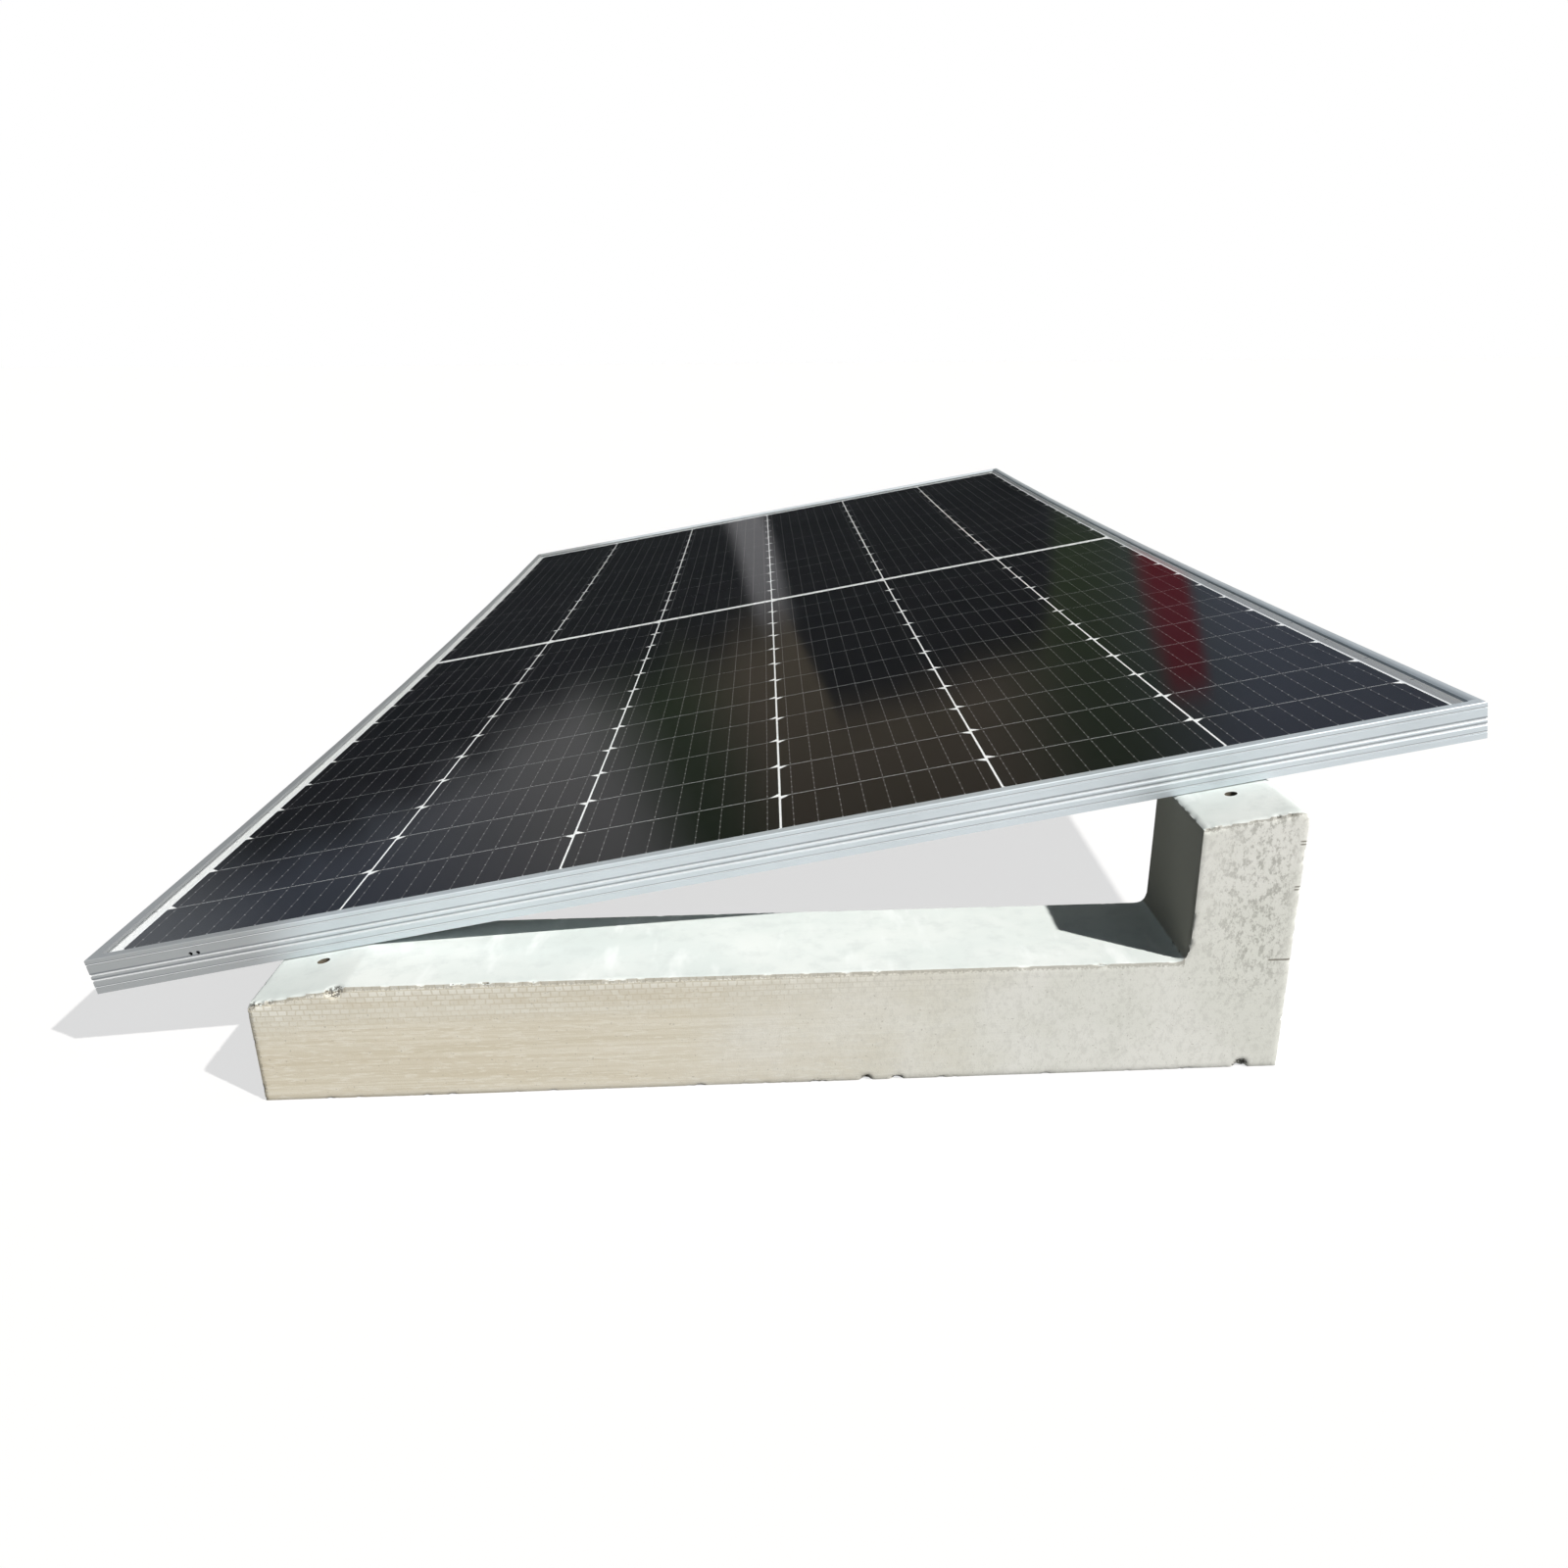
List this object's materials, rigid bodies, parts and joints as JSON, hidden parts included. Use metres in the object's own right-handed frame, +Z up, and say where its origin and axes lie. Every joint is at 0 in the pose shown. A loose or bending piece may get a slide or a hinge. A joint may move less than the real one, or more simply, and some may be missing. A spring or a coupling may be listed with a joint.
{
  "type": "solar ballast mount",
  "caption": "Framed solar module lying at a slight tilt on two L-shaped concrete ballast blocks with anchor sockets, one under each short end.",
  "frame": {"origin": "on the ground, under the middle of the whole assembly", "axes": "+X up the slope, +Y along the module's long side, +Z up"},
  "size_m": [1.1247, 2.43, 0.2778],
  "materials": {
    "concrete": "rough, cast",
    "anodised_frame": "satin anodised",
    "key_aluminium": "sawn",
    "sealant": "matt",
    "backsheet": "matt",
    "white_film": "matt",
    "clear_film": "clear",
    "solar_glass": "lightly textured, clear",
    "silicon_cell": "dark blue-black coating",
    "tinned_ribbon": "tinned copper",
    "box_plastic": "moulded black",
    "diode": "moulded black"
  },
  "bodies": {
    "root": {"adhesive_pad_1": "sealant", "adhesive_pad_2": "sealant", "adhesive_pad_3": "sealant", "backsheet": "backsheet", "ballast_block_far": "concrete", "ballast_block_near": "concrete", "bus_ribbons_far": "tinned_ribbon", "bus_ribbons_middle": "tinned_ribbon", "bus_ribbons_near": "tinned_ribbon", "bypass_diode_1": "diode", "bypass_diode_2": "diode", "bypass_diode_3": "diode", "cable_gland_negative": "box_plastic", "cable_gland_positive": "box_plastic", "cell_string_far_1": "silicon_cell", "cell_string_far_2": "silicon_cell", "cell_string_far_3": "silicon_cell", "cell_string_far_4": "silicon_cell", "cell_string_far_5": "silicon_cell", "cell_string_far_6": "silicon_cell", "cell_string_near_1": "silicon_cell", "cell_string_near_2": "silicon_cell", "cell_string_near_3": "silicon_cell", "cell_string_near_4": "silicon_cell", "cell_string_near_5": "silicon_cell", "cell_string_near_6": "silicon_cell", "corner_key_far_high": "key_aluminium", "corner_key_far_low": "key_aluminium", "corner_key_near_high": "key_aluminium", "corner_key_near_low": "key_aluminium", "edge_sealant": "sealant", "frame_rail_far": "anodised_frame", "frame_rail_high": "anodised_frame", "frame_rail_low": "anodised_frame", "frame_rail_near": "anodised_frame", "front_encapsulant": "clear_film", "front_glass": "solar_glass", "junction_box_1": "box_plastic", "junction_box_2": "box_plastic", "junction_box_3": "box_plastic", "junction_box_lid_1": "box_plastic", "junction_box_lid_2": "box_plastic", "junction_box_lid_3": "box_plastic", "rear_encapsulant": "white_film", "string_ribbons_far": "tinned_ribbon", "string_ribbons_near": "tinned_ribbon"}
  },
  "joints": []
}
